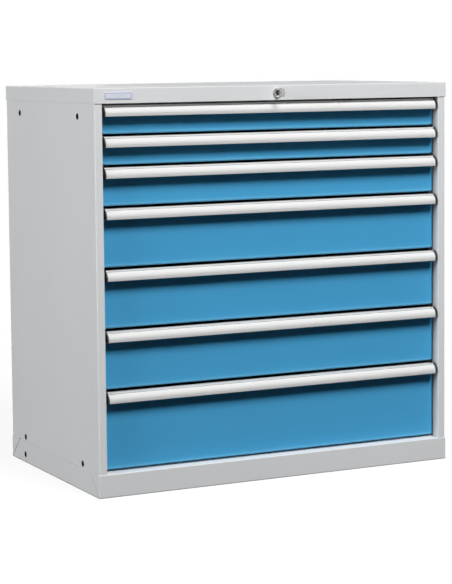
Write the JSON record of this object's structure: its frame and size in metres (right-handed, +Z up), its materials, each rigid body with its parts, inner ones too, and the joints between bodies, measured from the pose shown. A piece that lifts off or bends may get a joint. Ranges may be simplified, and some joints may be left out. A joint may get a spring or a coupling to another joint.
{
  "type": "workshop drawer cabinet",
  "caption": "Grey sheet-metal workshop cabinet on a plinth, with blue pull-out drawers, full-width aluminium grip handles and a key lock in the top fascia.",
  "frame": {"origin": "on the floor, below the middle of the object's bounding box; the footprint's middle lies 18.25 mm behind it, because the key stands out in front", "axes": "+X to the right seen from the front, -Y out of the front where the drawers open, +Z up"},
  "size_m": [1, 0.6366, 1],
  "materials": {
    "grey_coat": "light grey powder coat",
    "grey_box": "light grey powder coat",
    "blue_coat": "blue powder coat",
    "satin_aluminium": "satin anodised",
    "black_plastic": "matt moulded",
    "zinc_steel": "zinc plated",
    "chrome_lock": "polished",
    "key_steel": "nickel plated"
  },
  "bodies": {
    "cabinet": {"side_panel_left": "grey_coat", "side_panel_right": "grey_coat", "back_panel": "grey_coat", "top_cover": "grey_coat", "bottom_panel": "grey_coat", "plinth_front": "grey_coat", "plinth_rear": "grey_coat", "plinth_left": "grey_coat", "plinth_right": "grey_coat", "runner_uprights": "zinc_steel", "cabinet_rails": "zinc_steel", "back_panel_screws": "zinc_steel", "lock_housing": "chrome_lock", "lock_guides": "zinc_steel"},
    "drawer_1": {"drawer_1_box": "grey_box", "drawer_1_front": "blue_coat", "drawer_1_handle": "satin_aluminium", "drawer_1_handle_caps": "black_plastic", "drawer_1_rails": "zinc_steel"},
    "mid_rails_1": {"drawer_1_mid_rails": "zinc_steel"},
    "drawer_2": {"drawer_2_box": "grey_box", "drawer_2_front": "blue_coat", "drawer_2_handle": "satin_aluminium", "drawer_2_handle_caps": "black_plastic", "drawer_2_rails": "zinc_steel"},
    "mid_rails_2": {"drawer_2_mid_rails": "zinc_steel"},
    "drawer_3": {"drawer_3_box": "grey_box", "drawer_3_front": "blue_coat", "drawer_3_handle": "satin_aluminium", "drawer_3_handle_caps": "black_plastic", "drawer_3_rails": "zinc_steel"},
    "mid_rails_3": {"drawer_3_mid_rails": "zinc_steel"},
    "drawer_4": {"drawer_4_box": "grey_box", "drawer_4_front": "blue_coat", "drawer_4_handle": "satin_aluminium", "drawer_4_handle_caps": "black_plastic", "drawer_4_rails": "zinc_steel"},
    "mid_rails_4": {"drawer_4_mid_rails": "zinc_steel"},
    "drawer_5": {"drawer_5_box": "grey_box", "drawer_5_front": "blue_coat", "drawer_5_handle": "satin_aluminium", "drawer_5_handle_caps": "black_plastic", "drawer_5_rails": "zinc_steel"},
    "mid_rails_5": {"drawer_5_mid_rails": "zinc_steel"},
    "drawer_6": {"drawer_6_box": "grey_box", "drawer_6_front": "blue_coat", "drawer_6_handle": "satin_aluminium", "drawer_6_handle_caps": "black_plastic", "drawer_6_rails": "zinc_steel"},
    "mid_rails_6": {"drawer_6_mid_rails": "zinc_steel"},
    "drawer_7": {"drawer_7_box": "grey_box", "drawer_7_front": "blue_coat", "drawer_7_handle": "satin_aluminium", "drawer_7_handle_caps": "black_plastic", "drawer_7_rails": "zinc_steel"},
    "mid_rails_7": {"drawer_7_mid_rails": "zinc_steel"},
    "lock_cam": {"lock_plug": "chrome_lock", "lock_rod": "zinc_steel"},
    "key": {"key": "key_steel"},
    "lock_bar": {"lock_bar": "zinc_steel"}
  },
  "joints": [
    {"name": "drawer_1_slide", "type": "slide", "parent": "cabinet", "child": "drawer_1", "axis": [0, -1, 0], "range_m": [0, 0.5]},
    {"name": "mid_rails_1_slide", "type": "slide", "parent": "cabinet", "child": "mid_rails_1", "axis": [0, -1, 0], "range_m": [0, 0.25]},
    {"name": "drawer_2_slide", "type": "slide", "parent": "cabinet", "child": "drawer_2", "axis": [0, -1, 0], "range_m": [0, 0.5]},
    {"name": "mid_rails_2_slide", "type": "slide", "parent": "cabinet", "child": "mid_rails_2", "axis": [0, -1, 0], "range_m": [0, 0.25]},
    {"name": "drawer_3_slide", "type": "slide", "parent": "cabinet", "child": "drawer_3", "axis": [0, -1, 0], "range_m": [0, 0.5]},
    {"name": "mid_rails_3_slide", "type": "slide", "parent": "cabinet", "child": "mid_rails_3", "axis": [0, -1, 0], "range_m": [0, 0.25]},
    {"name": "drawer_4_slide", "type": "slide", "parent": "cabinet", "child": "drawer_4", "axis": [0, -1, 0], "range_m": [0, 0.5]},
    {"name": "mid_rails_4_slide", "type": "slide", "parent": "cabinet", "child": "mid_rails_4", "axis": [0, -1, 0], "range_m": [0, 0.25]},
    {"name": "drawer_5_slide", "type": "slide", "parent": "cabinet", "child": "drawer_5", "axis": [0, -1, 0], "range_m": [0, 0.5]},
    {"name": "mid_rails_5_slide", "type": "slide", "parent": "cabinet", "child": "mid_rails_5", "axis": [0, -1, 0], "range_m": [0, 0.25]},
    {"name": "drawer_6_slide", "type": "slide", "parent": "cabinet", "child": "drawer_6", "axis": [0, -1, 0], "range_m": [0, 0.5]},
    {"name": "mid_rails_6_slide", "type": "slide", "parent": "cabinet", "child": "mid_rails_6", "axis": [0, -1, 0], "range_m": [0, 0.25]},
    {"name": "drawer_7_slide", "type": "slide", "parent": "cabinet", "child": "drawer_7", "axis": [0, -1, 0], "range_m": [0, 0.5]},
    {"name": "mid_rails_7_slide", "type": "slide", "parent": "cabinet", "child": "mid_rails_7", "axis": [0, -1, 0], "range_m": [0, 0.25]},
    {"name": "lock_turn", "type": "hinge", "parent": "cabinet", "child": "lock_cam", "pos_m": [0, -0.28175, 0.9812], "axis": [0, 1, 0], "range_deg": [0, 90]},
    {"name": "key_slide", "type": "slide", "parent": "lock_cam", "child": "key", "axis": [0, -1, 0], "range_m": [0, 0.035]},
    {"name": "lock_bar_lift", "type": "slide", "parent": "cabinet", "child": "lock_bar", "axis": [0, 0, 1], "range_m": [0, 0.01]}
  ],
  "couplings": [
    {"joint": "mid_rails_1_slide", "follows": "drawer_1_slide", "ratio": 0.5},
    {"joint": "mid_rails_2_slide", "follows": "drawer_2_slide", "ratio": 0.5},
    {"joint": "mid_rails_3_slide", "follows": "drawer_3_slide", "ratio": 0.5},
    {"joint": "mid_rails_4_slide", "follows": "drawer_4_slide", "ratio": 0.5},
    {"joint": "mid_rails_5_slide", "follows": "drawer_5_slide", "ratio": 0.5},
    {"joint": "mid_rails_6_slide", "follows": "drawer_6_slide", "ratio": 0.5},
    {"joint": "mid_rails_7_slide", "follows": "drawer_7_slide", "ratio": 0.5},
    {"joint": "lock_turn", "follows": "lock_bar_lift", "rad_per_m": 157.08}
  ]
}
